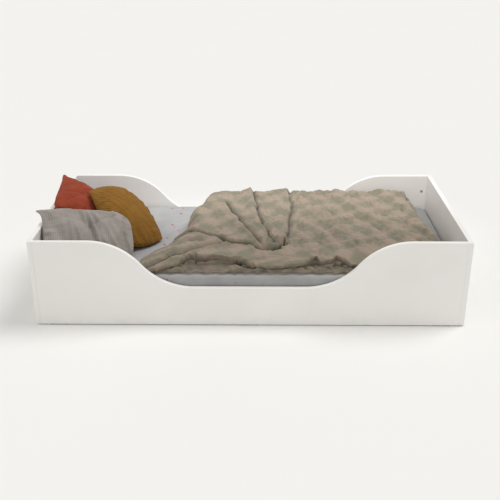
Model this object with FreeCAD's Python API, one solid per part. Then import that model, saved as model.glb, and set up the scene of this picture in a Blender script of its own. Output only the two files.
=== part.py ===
"""Toddler floor bed, dressed: a low box of painted panels with a wave-shaped way in on both long
sides, a slatted base, a mattress in a fitted sheet, a quilt and three pillows.

Frame: millimetres, +X along the bed towards the foot end, +Y towards the back, +Z up.
The origin is on the floor, under the middle of the bed.
"""

import FreeCAD, Part
import math
import os

from FreeCAD import Vector

# ---- sizes: mattress and what goes round it -------------------------------------------------
mattress_length = 1400.0
mattress_width = 700.0
mattress_thickness = 100.0
mattress_gap = 5.0              # free space between the mattress and each panel
mattress_edge_radius = 12.0     # soft edges of the mattress
cover_thickness = 2.0           # quilted fabric of the mattress cover
zip_width = 6.0
zip_height = 46.0               # middle of the zip above the underside of the mattress
sheet_thickness = 1.0
sheet_turn_under = 60.0         # hem of the fitted sheet under the mattress

# ---- sizes: panels ---------------------------------------------------------------------------
panel_thickness = 16.0
panel_height = 297.0
panel_edge_round = 2.0
low_rail_height = 135.0         # panel height in the middle of the wave
wave_bottom_half = 185.0        # half the straight stretch at the bottom of the wave
wave_top_half = 530.0           # from the middle to where the wave reaches the top
pad_thickness = 3.0             # felt pads under the panels
pad_length = 60.0
pad_width = 12.0

# ---- sizes: slatted base -----------------------------------------------------------------------
base_height = 72.0              # top of the slats above the floor
slat_count = 13
slat_width = 60.0
slat_thickness = 12.0
slat_end_gap = 30.0             # from the end panel to the first slat
slat_side_gap = 2.0             # from the end of a slat to the side panel
slat_edge_round = 2.0
rail_height = 34.0
rail_thickness = 20.0
rail_end_gap = 45.0             # from the end panel to the end of a support rail
rail_screw_end_gap = 60.0       # from the end of a rail to its first screw

# ---- sizes: fittings ---------------------------------------------------------------------------
bolt_diameter = 6.0
bolt_length = 40.0              # under the head
bolt_head_diameter = 13.0
bolt_head_thickness = 3.0
bolt_hex_width = 4.0
bolt_hex_depth = 2.1
bolt_low_height = 100.0         # above the floor
bolt_high_height = 236.0
bolt_clearance = 0.5            # bolt hole over the bolt's diameter
bolt_hole_spare = 2.0           # depth of the hole past the bolt's end
cap_diameter = 15.0
cap_thickness = 1.4
cap_clearance = 0.2             # recess over the cap's diameter
nut_diameter = 10.0
nut_length = 12.0
nut_slot_width = 1.5
nut_slot_depth = 1.2
nut_setback = 18.0              # middle of the barrel nut from the end of the side panel
thread_clearance = 0.2
dowel_diameter = 8.0
dowel_in_end_panel = 10.0
dowel_in_side_panel = 20.0
dowel_clearance = 0.1
dowel_low_height = 40.0
dowel_high_height = 168.0
screw_diameter = 4.0
screw_head_diameter = 8.0
screw_head_depth = 2.4
rail_screw_length = 30.0
rail_screw_count = 6
slat_screw_length = 32.0
screw_clearance = 0.1
screw_slot_depth = 1.2
screw_slot_width = 1.0
screw_slot_length = 4.8

# ---- sizes: bedding ----------------------------------------------------------------------------
seat_clearance = 0.3            # soft pieces from what carries them
case_thickness = 1.5            # pillow case over its filling
seam_thickness = 6.0            # a pillow at its seam
quilt_swell_front = 46.0        # quilt over the sheet, just behind its front hem
quilt_swell_back = 80.0         # and just before its back hem
quilt_front_ease = 60.0         # how far in from each hem it reaches its swell
quilt_back_ease = 50.0
quilt_left_ease = 170.0
quilt_right_ease = 70.0
quilt_hem_thickness = 11.0
quilt_side_inset = 11.0         # hems of the quilt in from the front and back edge of the sheet
quilt_head_gap_front = 293.0    # its slanted left edge from the mattress's head end, at the front
quilt_head_gap_back = 539.0     # and at the back
quilt_foot_gap_front = 15.0     # its right edge from the mattress's foot end, at the front
quilt_foot_gap_back = 60.0      # and at the back
quilt_corner_width = 40.0       # blunt corner at the start of that edge
quilt_station_count = 31
quilt_arc_count = 12

# ---- sizes: pillows ----------------------------------------------------------------------------
# Width, height and crown; how far the seams are drawn in between the corners (negative where they
# bulge out); how far the middle lies from the head panel, and from the bed's middle towards the back.
rust_width = 284.0
rust_height = 241.0
rust_crown = 128.0
rust_seam_draw = 15.0
rust_from_head = 81.0
rust_from_middle = 62.0
mustard_width = 163.0
mustard_height = 273.0
mustard_crown = 108.0
mustard_seam_draw = -19.0
mustard_from_head = 241.0
mustard_from_middle = -8.0
grey_width = 300.0
grey_height = 184.0
grey_crown = 86.0
grey_seam_draw = 5.0
grey_from_head = 133.0
grey_from_middle = -180.0
pillow_push = 80.0              # how far a pillow is pushed up against its neighbours
pillow_lift = 400.0             # the height from which it is let down

# ---- what follows from them --------------------------------------------------------------------
inner_length = mattress_length + 2 * mattress_gap
inner_width = mattress_width + 2 * mattress_gap
outer_length = inner_length + 2 * panel_thickness
outer_width = inner_width + 2 * panel_thickness
panel_top = pad_thickness + panel_height
panel_middle = inner_width / 2 + panel_thickness / 2      # mid-thickness of a side panel
mattress_base = base_height + sheet_thickness
mattress_top = mattress_base + mattress_thickness
sheet_top = mattress_top + sheet_thickness
quilt_left_front_x = quilt_head_gap_front - mattress_length / 2
quilt_left_back_x = quilt_head_gap_back - mattress_length / 2

X_AXIS = Vector(1, 0, 0)
Y_AXIS = Vector(0, 1, 0)
Z_AXIS = Vector(0, 0, 1)


# ---- helpers -----------------------------------------------------------------------------------
def box(x_low, x_high, y_low, y_high, z_low, z_high):
    return Part.makeBox(x_high - x_low, y_high - y_low, z_high - z_low, Vector(x_low, y_low, z_low))


def rounded_box(length, width, z_low, z_high, radius):
    """A box centred on the bed with all its edges rounded."""
    body = box(-length / 2, length / 2, -width / 2, width / 2, z_low, z_high)
    return body.makeFillet(radius, body.Edges)


def rod(diameter, length, start, direction):
    return Part.makeCylinder(diameter / 2, length, start, direction)


def export(node, pieces):
    """Writes one node: one solid, or a group of solids."""
    if not isinstance(pieces, list):
        pieces = [pieces]
    shape = pieces[0] if len(pieces) == 1 else Part.makeCompound(pieces)
    for piece in pieces:
        if not piece.isValid():
            print("not valid:", node)
    if shape.ShapeType == "Compound" and len(shape.Solids) == 1:
        shape = shape.Solids[0]
    shape.exportStep("parts/" + node + ".step")


def approach(shape, direction, reach, others):
    """Moves a soft piece along direction by reach, or less where it comes within seat_clearance
    of one of the others, and backs off from any that it still touches."""
    rest = Part.makeCompound(others)
    left = reach
    for step in range(40):
        room = min(left, shape.distToShape(rest)[0] - seat_clearance)
        if room < 0.02:
            break
        shape = shape.translated(direction * room)
        left -= room
    while shape.common(rest).Volume > 0:
        shape = shape.translated(direction * -seat_clearance)
    return shape


# ---- fittings ----------------------------------------------------------------------------------
def corner_places():
    """Each corner as (end sign along X, side sign along Y)."""
    return [(end, side) for end in (-1, 1) for side in (-1, 1)]


def bolt_seat_x(end):
    """X of the face under a bolt's head, inside the recess of an end panel."""
    return end * (outer_length / 2 - cap_thickness - bolt_head_thickness)


def make_bolt(end, side, height):
    """Connector bolt with a flat head and a hexagon socket."""
    inward = Vector(-end, 0, 0)
    seat_point = Vector(bolt_seat_x(end), side * panel_middle, height)
    shank = rod(bolt_diameter, bolt_length, seat_point, inward)
    head = rod(bolt_head_diameter, bolt_head_thickness, seat_point, -inward)
    socket_circle = bolt_hex_width / math.sqrt(3)
    corners = []
    for k in range(7):
        turn = math.radians(60 * k)
        corners.append(Vector(0, socket_circle * math.cos(turn), socket_circle * math.sin(turn)))
    socket = Part.Face(Part.makePolygon(corners)).extrude(inward * bolt_hex_depth)
    mouth = seat_point - inward * bolt_head_thickness
    return shank.fuse(head).cut(socket.translated(mouth)).removeSplitter()


def bolt_bore(end, side, height):
    """Recess, clearance hole and blind end of one bolt."""
    inward = Vector(-end, 0, 0)
    mouth = Vector(end * outer_length / 2, side * panel_middle, height)
    recess = rod(cap_diameter, cap_thickness + bolt_head_thickness, mouth, inward)
    seat = Vector(bolt_seat_x(end), mouth.y, height)
    hole = rod(bolt_diameter + bolt_clearance, bolt_length + bolt_hole_spare, seat, inward)
    return recess.fuse(hole)


def make_cap(end, side, height):
    outer_face = Vector(end * outer_length / 2, side * panel_middle, height)
    return rod(cap_diameter - cap_clearance, cap_thickness, outer_face, Vector(-end, 0, 0))


def nut_start(end, side, height):
    """Middle of the barrel nut's end, flush with the inner face of the side panel."""
    return Vector(end * (inner_length / 2 - nut_setback), side * inner_width / 2, height)


def make_nut(end, side, height):
    """Barrel nut: a cross dowel with a threaded hole through its side and a driver slot."""
    start = nut_start(end, side, height)
    outward = Vector(0, side, 0)
    barrel = rod(nut_diameter, nut_length, start, outward)
    thread_start = Vector(start.x - nut_diameter, side * panel_middle, height)
    thread = rod(bolt_diameter + thread_clearance, 2 * nut_diameter, thread_start, X_AXIS)
    radius = nut_diameter / 2
    slot = box(start.x - radius, start.x + radius, start.y - nut_slot_depth, start.y + nut_slot_depth,
               height - nut_slot_width / 2, height + nut_slot_width / 2)
    return barrel.cut(thread).cut(slot)


def nut_bore(end, side, height):
    return rod(nut_diameter + dowel_clearance, nut_length, nut_start(end, side, height), Vector(0, side, 0))


def dowel_start(end, side, height):
    return Vector(end * (inner_length / 2 + dowel_in_end_panel), side * panel_middle, height)


def make_dowel(end, side, height):
    length = dowel_in_end_panel + dowel_in_side_panel
    return rod(dowel_diameter, length, dowel_start(end, side, height), Vector(-end, 0, 0))


def dowel_bore(end, side, height):
    length = dowel_in_end_panel + dowel_in_side_panel
    return rod(dowel_diameter + dowel_clearance, length, dowel_start(end, side, height), Vector(-end, 0, 0))


def make_screw(head_face, direction, length):
    """Countersunk screw with a cross slot, its head flush at head_face."""
    slope = (screw_head_diameter - screw_diameter) / 2
    radius = screw_diameter / 2
    head = Part.makeCone(screw_head_diameter / 2, radius, screw_head_depth, head_face, direction)
    shank = rod(screw_diameter, length - slope, head_face, direction)
    point_start = head_face + direction * (length - slope)
    point = Part.makeCone(screw_diameter / 2, 0, slope, point_start, direction)
    across = X_AXIS
    other = direction.cross(across)
    screw = head.fuse(shank).fuse(point).removeSplitter()
    for run in (across, other):
        half = run * (screw_slot_length / 2)
        wide = direction.cross(run) * (screw_slot_width / 2)
        corners = [
            head_face - half - wide,
            head_face + half - wide,
            head_face + half + wide,
            head_face - half + wide,
            head_face - half - wide,
        ]
        screw = screw.cut(Part.Face(Part.makePolygon(corners)).extrude(direction * screw_slot_depth))
    return screw


def screw_bore(head_face, direction, length):
    slack = screw_clearance / 2
    radius = screw_head_diameter / 2 + slack
    head = Part.makeCone(radius, screw_diameter / 2 + slack, screw_head_depth, head_face, direction)
    hole = rod(screw_diameter + screw_clearance, length + slack, head_face, direction)
    return head.fuse(hole)


# ---- panels ------------------------------------------------------------------------------------
def wave_profile(y):
    """Outline of a side panel in the plane at y: straight top, two tangent arcs down to the low
    middle rail on each side."""
    bottom = pad_thickness
    low = pad_thickness + low_rail_height
    drop = panel_top - low
    run = wave_top_half - wave_bottom_half
    radius = (run * run + drop * drop) / (4 * drop)
    turn = math.asin(run / (2 * radius))
    half_x = radius * math.sin(turn / 2)
    half_z = radius * (1 - math.cos(turn / 2))
    middle_x = (wave_bottom_half + wave_top_half) / 2
    middle_z = (low + panel_top) / 2
    edges = []

    def line(x1, z1, x2, z2):
        edges.append(Part.makeLine(Vector(x1, y, z1), Vector(x2, y, z2)))

    def arc(x1, z1, x2, z2, x3, z3):
        edges.append(Part.Arc(Vector(x1, y, z1), Vector(x2, y, z2), Vector(x3, y, z3)).toShape())

    end_x = inner_length / 2
    line(-end_x, bottom, end_x, bottom)
    line(end_x, bottom, end_x, panel_top)
    line(end_x, panel_top, wave_top_half, panel_top)
    upper_x = wave_top_half - half_x
    upper_z = panel_top - half_z
    lower_x = wave_bottom_half + half_x
    lower_z = low + half_z
    arc(wave_top_half, panel_top, upper_x, upper_z, middle_x, middle_z)
    arc(middle_x, middle_z, lower_x, lower_z, wave_bottom_half, low)
    line(wave_bottom_half, low, -wave_bottom_half, low)
    arc(-wave_bottom_half, low, -lower_x, lower_z, -middle_x, middle_z)
    arc(-middle_x, middle_z, -upper_x, upper_z, -wave_top_half, panel_top)
    line(-wave_top_half, panel_top, -end_x, panel_top)
    line(-end_x, panel_top, -end_x, bottom)
    return Part.Face(Part.Wire(edges))


def round_edges(panel, wanted):
    """Rounds the edges for which wanted(middle point) is true."""
    chosen = []
    for edge in panel.Edges:
        middle = edge.valueAt((edge.FirstParameter + edge.LastParameter) / 2)
        if wanted(middle):
            chosen.append(edge)
    return panel.makeFillet(panel_edge_round, chosen)


def make_side_panel(side):
    inner_face = side * inner_width / 2
    panel = wave_profile(inner_face).extrude(Vector(0, side * panel_thickness, 0))
    end_x = inner_length / 2 - 0.5
    low = pad_thickness + 0.5
    panel = round_edges(panel, lambda p: abs(p.x) < end_x and p.z > low)
    for end in (-1, 1):
        for height in (bolt_low_height, bolt_high_height):
            panel = panel.cut(bolt_bore(end, side, height))
            panel = panel.cut(nut_bore(end, side, height))
        for height in (dowel_low_height, dowel_high_height):
            panel = panel.cut(dowel_bore(end, side, height))
    for x in rail_screw_places():
        panel = panel.cut(rail_screw_bore(x, side))
    return panel


def make_end_panel(end):
    x_inner = end * inner_length / 2
    x_outer = end * outer_length / 2
    half_width = outer_width / 2
    low_x = min(x_inner, x_outer)
    panel = box(low_x, low_x + panel_thickness, -half_width, half_width, pad_thickness, panel_top)
    foot = pad_thickness + 0.5
    panel = round_edges(panel, lambda p: p.z > foot)
    for side in (-1, 1):
        for height in (bolt_low_height, bolt_high_height):
            panel = panel.cut(bolt_bore(end, side, height))
        for height in (dowel_low_height, dowel_high_height):
            panel = panel.cut(dowel_bore(end, side, height))
    return panel


def make_pads():
    """Felt strips: three under each side panel, two under each end panel."""
    far_x = inner_length / 2 - pad_length
    far_y = inner_width / 2 - pad_length
    end_x = inner_length / 2 + panel_thickness / 2
    along_x = [(x, side * panel_middle) for side in (-1, 1) for x in (-far_x, 0, far_x)]
    along_y = [(end * end_x, y) for end in (-1, 1) for y in (-far_y, far_y)]
    pads = []
    for places, length, width in ((along_x, pad_length, pad_width), (along_y, pad_width, pad_length)):
        for x, y in places:
            corner = Vector(x - length / 2, y - width / 2, 0)
            pads.append(Part.makeBox(length, width, pad_thickness, corner))
    return pads


# ---- slatted base ------------------------------------------------------------------------------
rail_top = base_height - slat_thickness
rail_half_length = inner_length / 2 - rail_end_gap


def rail_screw_places():
    first = rail_half_length - rail_screw_end_gap
    return [-first + 2 * first * k / (rail_screw_count - 1) for k in range(rail_screw_count)]


def rail_screw_face(x, side):
    return Vector(x, side * (inner_width / 2 - rail_thickness), rail_top - rail_height / 2)


def rail_screw_bore(x, side):
    return screw_bore(rail_screw_face(x, side), Vector(0, side, 0), rail_screw_length)


def slat_places():
    first = inner_length / 2 - slat_end_gap - slat_width / 2
    return [-first + 2 * first * k / (slat_count - 1) for k in range(slat_count)]


def slat_screw_face(x, side):
    return Vector(x, side * (inner_width / 2 - rail_thickness / 2), base_height)


def slat_screw_bore(x, side):
    return screw_bore(slat_screw_face(x, side), -Z_AXIS, slat_screw_length)


def make_rail(side):
    wall = side * inner_width / 2
    low_y = min(wall, wall - side * rail_thickness)
    high_y = low_y + rail_thickness
    rail = box(-rail_half_length, rail_half_length, low_y, high_y, rail_top - rail_height, rail_top)
    for x in rail_screw_places():
        rail = rail.cut(rail_screw_bore(x, side))
    for x in slat_places():
        rail = rail.cut(slat_screw_bore(x, side))
    return rail


def make_slat(x):
    half_length = inner_width / 2 - slat_side_gap
    slat = box(x - slat_width / 2, x + slat_width / 2, -half_length, half_length, rail_top, base_height)
    long_edges = [e for e in slat.Edges if abs(e.tangentAt(e.FirstParameter).y) > 0.9]
    slat = slat.makeFillet(slat_edge_round, long_edges)
    for side in (-1, 1):
        slat = slat.cut(slat_screw_bore(x, side))
    return slat


# ---- mattress ----------------------------------------------------------------------------------
def mattress_form(grow):
    """The mattress block grown (or, if negative, shrunk) by the same amount on every side."""
    length = mattress_length + 2 * grow
    width = mattress_width + 2 * grow
    low = mattress_base - grow
    high = mattress_top + grow
    return rounded_box(length, width, low, high, mattress_edge_radius + grow)


def make_mattress():
    """Foam core, both halves of the zipped cover, the zip and the fitted sheet."""
    core = mattress_form(-cover_thickness)
    outside = mattress_form(0)
    cover = outside.cut(core)
    zip_low = mattress_base + zip_height - zip_width / 2
    zip_high = zip_low + zip_width
    reach_x = mattress_length
    reach_y = mattress_width
    band = box(-reach_x, reach_x, -reach_y, reach_y, zip_low, zip_high)
    above = box(-reach_x, reach_x, -reach_y, reach_y, zip_high, 2 * sheet_top)
    below = box(-reach_x, reach_x, -reach_y, reach_y, 0, zip_low)
    sheet = mattress_form(sheet_thickness).cut(outside)
    open_x = mattress_length / 2 - sheet_turn_under
    open_y = mattress_width / 2 - sheet_turn_under
    sheet = sheet.cut(box(-open_x, open_x, -open_y, open_y, 0, mattress_base + 1))
    return core, cover.common(above), cover.common(below), cover.common(band), sheet


# ---- pillows -----------------------------------------------------------------------------------
def pillow_form(width, height, crown, draw_in, seam):
    """A plump pillow, upright in the X-Z plane: its middle swells to the crown, its four seams
    are drawn in between the corners, and it is as thin as the seam all along its edge."""
    shares = (-1.0, -0.86, -0.5, 0.0, 0.5, 0.86, 1.0)
    fronts = []
    backs = []
    wires = []
    for share in shares:
        fullness = math.sqrt(max(0.0, 1 - share * share))
        half_height = height / 2 - draw_in * (1 - share * share)
        edge_x = share * width / 2
        middle_x = share * (width / 2 - draw_in)
        swell = seam / 2 + (crown - seam) / 2 * fullness
        top = Vector(edge_x, 0, half_height)
        bottom = Vector(edge_x, 0, -half_height)
        forward = Vector(0, -seam / 2, 0)
        front = Part.Arc(top + forward, Vector(middle_x, -swell, 0), bottom + forward).toShape()
        back = Part.Arc(bottom - forward, Vector(middle_x, swell, 0), top - forward).toShape()
        low_edge = Part.makeLine(bottom + forward, bottom - forward)
        high_edge = Part.makeLine(top - forward, top + forward)
        fronts.append(front)
        backs.append(back)
        wires.append(Part.Wire([front, low_edge, back, high_edge]))
    skin = Part.makeLoft(wires, False, False)
    faces = list(skin.Faces)
    for k in (0, -1):
        faces.append(Part.makeRuledSurface(fronts[k], backs[k]))
    shell = Part.Shell(faces)
    shell.sewShape()
    solid = Part.Solid(shell)
    if solid.Volume < 0:
        solid.reverse()
    return solid


def pose_pillow(shape, roll, lean, turn, x, y, z):
    """Rolls a pillow in its own plane, leans it back, turns it about the vertical and puts its
    middle at x, y, z."""
    origin = Vector(0, 0, 0)
    shape = shape.copy()
    shape.rotate(origin, Y_AXIS, roll)
    shape.rotate(origin, X_AXIS, -lean)
    shape.rotate(origin, Z_AXIS, turn)
    return shape.translated(Vector(x, y, z))


# name: width, height, crown, draw-in of the seams, then roll, lean and turn in degrees, then the
# middle from the head panel and from the bed's middle, and the way from which it was pushed up
pillows = {
    "rust": (rust_width, rust_height, rust_crown, rust_seam_draw, -6.9, 48.5, 88.4,
             rust_from_head, rust_from_middle, Vector(1, 0, 0)),
    "mustard": (mustard_width, mustard_height, mustard_crown, mustard_seam_draw, 16.5, 58.5, 60.2,
                mustard_from_head, mustard_from_middle, Vector(1, 0, 0)),
    "grey": (grey_width, grey_height, grey_crown, grey_seam_draw, 14.0, 46.0, 32.0,
             grey_from_head, grey_from_middle, Vector(0.2, -0.98, 0)),
}


def make_pillow(colour, bedding, neighbours):
    """One pillow as its whole, its case and its filling: let down onto the bedding, then pushed
    up against its neighbours."""
    width, height, crown, draw_in, roll, lean, turn, from_head, y, way = pillows[colour]
    x = from_head - inner_length / 2
    outer = pillow_form(width, height, crown, draw_in, seam_thickness)
    thinner = 2 * case_thickness
    inner_width_of_case = width - 2 * thinner
    inner_height_of_case = height - 2 * thinner
    inner_seam = seam_thickness - thinner
    inner = pillow_form(inner_width_of_case, inner_height_of_case, crown - thinner, draw_in, inner_seam)
    start = Vector(x, y, pillow_lift) + way * pillow_push
    posed = pose_pillow(outer, roll, lean, turn, start.x, start.y, start.z)
    posed = approach(posed, -Z_AXIS, pillow_lift, bedding)
    posed = approach(posed, -way, pillow_push, neighbours)
    moved = posed.Placement.Base
    filling = pose_pillow(inner, roll, lean, turn, moved.x, moved.y, moved.z)
    return posed, posed.cut(filling), filling


# ---- quilt -------------------------------------------------------------------------------------
# Plan outline of the quilt on the sheet: its left edge runs aslant from front to back, and its
# right edge is stepped. Each row is an x and where the back hem lies there.
quilt_front = -(mattress_width / 2 - quilt_side_inset)
quilt_back = mattress_width / 2 - quilt_side_inset
quilt_right_x = mattress_length / 2 - quilt_foot_gap_front
quilt_right_steps = ((1.0, 0.0), (0.78, 0.31), (0.51, 0.53), (0.0, 0.74))
quilt_right_edge = []
for gap_share, width_share in quilt_right_steps:
    step_x = quilt_right_x - (quilt_foot_gap_back - quilt_foot_gap_front) * gap_share
    quilt_right_edge.append((step_x, quilt_back - (quilt_back - quilt_front) * width_share))
# Folds: both ends in plan, half width, height over the swell (a valley is negative).
quilt_folds = [
    ((-5.0, 345.0), (45.0, -150.0), 30.0, 16.0),
    ((80.0, 345.0), (98.0, -150.0), 30.0, 8.0),
    ((-170.0, 230.0), (20.0, -200.0), 36.0, 12.0),
    ((38.0, 300.0), (72.0, -160.0), 20.0, -14.0),
    ((-94.0, 171.0), (49.0, -250.0), 22.0, -18.0),
    ((150.0, 345.0), (128.0, -166.0), 20.0, -16.0),
    ((85.0, -205.0), (128.0, -190.0), 28.0, 18.0),
    ((-350.0, -270.0), (560.0, -272.0), 30.0, 12.0),
    ((-100.0, -315.0), (500.0, -315.0), 16.0, -12.0),
    ((-290.0, -330.0), (-87.0, -195.0), 22.0, -12.0),
    ((-270.0, -10.0), (-100.0, -180.0), 22.0, -12.0),
    ((-290.0, -120.0), (-160.0, -190.0), 30.0, 12.0),
    ((315.0, 330.0), (520.0, -120.0), 34.0, 8.0),
    ((515.0, 330.0), (640.0, -120.0), 34.0, 8.0),
    ((230.0, 200.0), (370.0, -210.0), 34.0, 7.0),
]


def quilt_left_x(y):
    """Where the left edge of the quilt lies at y."""
    share = (y - quilt_front) / (quilt_back - quilt_front)
    return quilt_left_front_x + (quilt_left_back_x - quilt_left_front_x) * share


def quilt_back_hem(x):
    """Where the back hem, or the slanted or stepped edge that takes its place, lies at x."""
    slope = (quilt_back - quilt_front) / (quilt_left_back_x - quilt_left_front_x)
    if x < quilt_left_back_x:
        return quilt_front + quilt_corner_width + (x - quilt_left_front_x) * slope
    if x <= quilt_right_edge[0][0]:
        return quilt_back
    for (x1, y1), (x2, y2) in zip(quilt_right_edge, quilt_right_edge[1:]):
        if x <= x2:
            return y1 + (y2 - y1) * (x - x1) / (x2 - x1)
    return quilt_right_edge[-1][1]


def eased(distance, reach):
    """0 at a hem, 1 at reach from it and beyond, rounded like a soft edge."""
    return math.sin(min(1.0, max(0.0, distance / reach)) * math.pi / 2)


def quilt_rise(x, y):
    """Height of the quilt's top over the sheet: a swell that is fuller towards the back and falls
    off to the hems, with folds as smooth ridges and valleys along straight lines."""
    fullness = eased(y - quilt_front, quilt_front_ease) * eased(quilt_back - y, quilt_back_ease)
    fullness *= eased(x - quilt_left_x(y), quilt_left_ease)
    fullness *= eased(quilt_right_edge[-1][0] - x, quilt_right_ease)
    share = (y - quilt_front) / (quilt_back - quilt_front)
    swell = quilt_swell_front + (quilt_swell_back - quilt_swell_front) * share
    rise = quilt_hem_thickness + (swell - quilt_hem_thickness) * fullness
    for (x1, y1), (x2, y2), half_width, height in quilt_folds:
        run_x = x2 - x1
        run_y = y2 - y1
        along = ((x - x1) * run_x + (y - y1) * run_y) / (run_x * run_x + run_y * run_y)
        along = min(1.0, max(0.0, along))
        away = math.hypot(x - x1 - along * run_x, y - y1 - along * run_y)
        rise += height * fullness * math.exp(-((away / half_width) ** 2))
    return max(rise, quilt_hem_thickness)


def arc_over(start, middle, end):
    """The arc through three points of a section; where they lie in line, it is a shallow crown."""
    chord_middle = (start + end) * 0.5
    if (middle - chord_middle).Length < 0.05:
        middle = chord_middle + Z_AXIS * 0.05
    return Part.Arc(start, middle, end).toShape()


def make_quilt():
    """A loft along the bed through sections whose top is a chain of arcs over the folds."""
    first_x = quilt_left_front_x
    last_x = quilt_right_edge[-1][0]
    floor_z = sheet_top + seat_clearance
    wires = []
    for k in range(quilt_station_count):
        x = first_x + (last_x - first_x) * k / (quilt_station_count - 1)
        front = quilt_front
        back = quilt_back_hem(x)
        points = []
        for j in range(2 * quilt_arc_count + 1):
            y = front + (back - front) * j / (2 * quilt_arc_count)
            points.append(Vector(x, y, floor_z + quilt_rise(x, y)))
        edges = []
        for j in range(quilt_arc_count):
            edges.append(arc_over(points[2 * j], points[2 * j + 1], points[2 * j + 2]))
        low_front = Vector(x, front, floor_z)
        low_back = Vector(x, back, floor_z)
        edges.append(Part.makeLine(points[-1], low_back))
        edges.append(Part.makeLine(low_back, low_front))
        edges.append(Part.makeLine(low_front, points[0]))
        wires.append(Part.Wire(edges))
    return Part.makeLoft(wires, True, True)


# ---- the whole bed -----------------------------------------------------------------------------
def main():
    os.makedirs("parts", exist_ok=True)
    names = {-1: "front", 1: "back"}
    for side in (-1, 1):
        export(names[side] + "_side_panel", make_side_panel(side))
        export(names[side] + "_support_rail", make_rail(side))
    head_panel = make_end_panel(-1)
    export("head_panel", head_panel)
    export("foot_panel", make_end_panel(1))
    export("felt_pads", make_pads())
    for number, x in enumerate(slat_places(), 1):
        export("slat_%02d" % number, make_slat(x))

    heights = (bolt_low_height, bolt_high_height)
    places = [(end, side, height) for end, side in corner_places() for height in heights]
    export("corner_bolts", [make_bolt(*place) for place in places])
    export("barrel_nuts", [make_nut(*place) for place in places])
    export("bolt_caps", [make_cap(*place) for place in places])
    heights = (dowel_low_height, dowel_high_height)
    places = [(end, side, height) for end, side in corner_places() for height in heights]
    export("wood_dowels", [make_dowel(*place) for place in places])
    rail_screws = []
    slat_screws = []
    for side in (-1, 1):
        for x in rail_screw_places():
            rail_screws.append(make_screw(rail_screw_face(x, side), Vector(0, side, 0), rail_screw_length))
        for x in slat_places():
            slat_screws.append(make_screw(slat_screw_face(x, side), -Z_AXIS, slat_screw_length))
    export("rail_screws", rail_screws)
    export("slat_screws", slat_screws)

    core, cover_top, cover_bottom, cover_zip, sheet = make_mattress()
    export("mattress_core", core)
    export("mattress_cover_top", cover_top)
    export("mattress_cover_bottom", cover_bottom)
    export("mattress_zip", cover_zip)
    export("fitted_sheet", sheet)

    export("quilt", make_quilt())
    bedding = [mattress_form(sheet_thickness)]
    neighbours = [head_panel]
    for colour in ("rust", "mustard", "grey"):
        whole, case, filling = make_pillow(colour, bedding, neighbours)
        neighbours.append(whole)
        export(colour + "_pillow_case", case)
        export(colour + "_pillow_filling", filling)


main()
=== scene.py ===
from math import cos, pi, radians, sin, sqrt
import bmesh
import bpy
import numpy as np
from mathutils import Matrix, Vector


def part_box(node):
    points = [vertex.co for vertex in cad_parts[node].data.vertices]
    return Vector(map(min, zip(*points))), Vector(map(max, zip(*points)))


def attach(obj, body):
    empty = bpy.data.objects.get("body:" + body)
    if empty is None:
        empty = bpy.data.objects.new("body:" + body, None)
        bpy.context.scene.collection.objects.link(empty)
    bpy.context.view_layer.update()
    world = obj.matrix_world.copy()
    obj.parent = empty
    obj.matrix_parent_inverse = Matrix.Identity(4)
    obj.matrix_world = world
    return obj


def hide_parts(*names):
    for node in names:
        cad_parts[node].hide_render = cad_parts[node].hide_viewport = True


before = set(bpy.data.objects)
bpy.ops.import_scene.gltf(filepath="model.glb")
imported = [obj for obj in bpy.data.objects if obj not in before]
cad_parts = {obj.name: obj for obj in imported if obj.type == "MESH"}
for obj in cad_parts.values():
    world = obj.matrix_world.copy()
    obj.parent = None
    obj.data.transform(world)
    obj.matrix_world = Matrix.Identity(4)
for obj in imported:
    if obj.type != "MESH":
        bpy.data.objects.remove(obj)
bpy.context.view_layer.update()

scene = bpy.context.scene
SHEET_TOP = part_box("fitted_sheet")[1].z
HEAD_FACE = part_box("head_panel")[1].x


# ---- numbers and curves ----
def linear(hex_colour):
    """sRGB hex colour as linear RGBA, by the curve of the sRGB standard."""
    parts = [int(hex_colour[k:k + 2], 16) / 255 for k in (1, 3, 5)]
    return [c / 12.92 if c <= 0.04045 else ((c + 0.055) / 1.055) ** 2.4 for c in parts] + [1.0]


def smooth(low, high, value):
    """0 below low, 1 above high, and a curve with level ends between them."""
    t = np.clip((value - low) / (high - low), 0, 1)
    return t * t * (3 - 2 * t)


def swell(value, reach):
    """0 at 0, 1 at reach and beyond, rounded like the edge of something soft."""
    return np.sin(np.clip(value / reach, 0, 1) * pi / 2)


def ripples(x, y, size, seed, count=14):
    """Irregular waves about size long, from -1 to 1: the sum of sines that run in seeded
    directions, with seeded lengths and starts, each bent by a slower one."""
    chance = np.random.default_rng(seed)
    peak = 2.2          # such a sum seldom rises over this many times its root mean square
    total = np.zeros_like(x)
    for angle, length, start, bend in chance.uniform(0, 1, (count, 4)):
        way = angle * 2 * pi
        wave = size * (0.6 + 0.9 * length)
        along = x * cos(way) + y * sin(way)
        across = y * cos(way) - x * sin(way)
        bent = 1.5 * np.sin(across / wave * 2.1 + bend * 6)
        total += np.sin(2 * pi * (along / wave + start) + bent)
    return total / sqrt(count / 2) / peak


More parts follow.
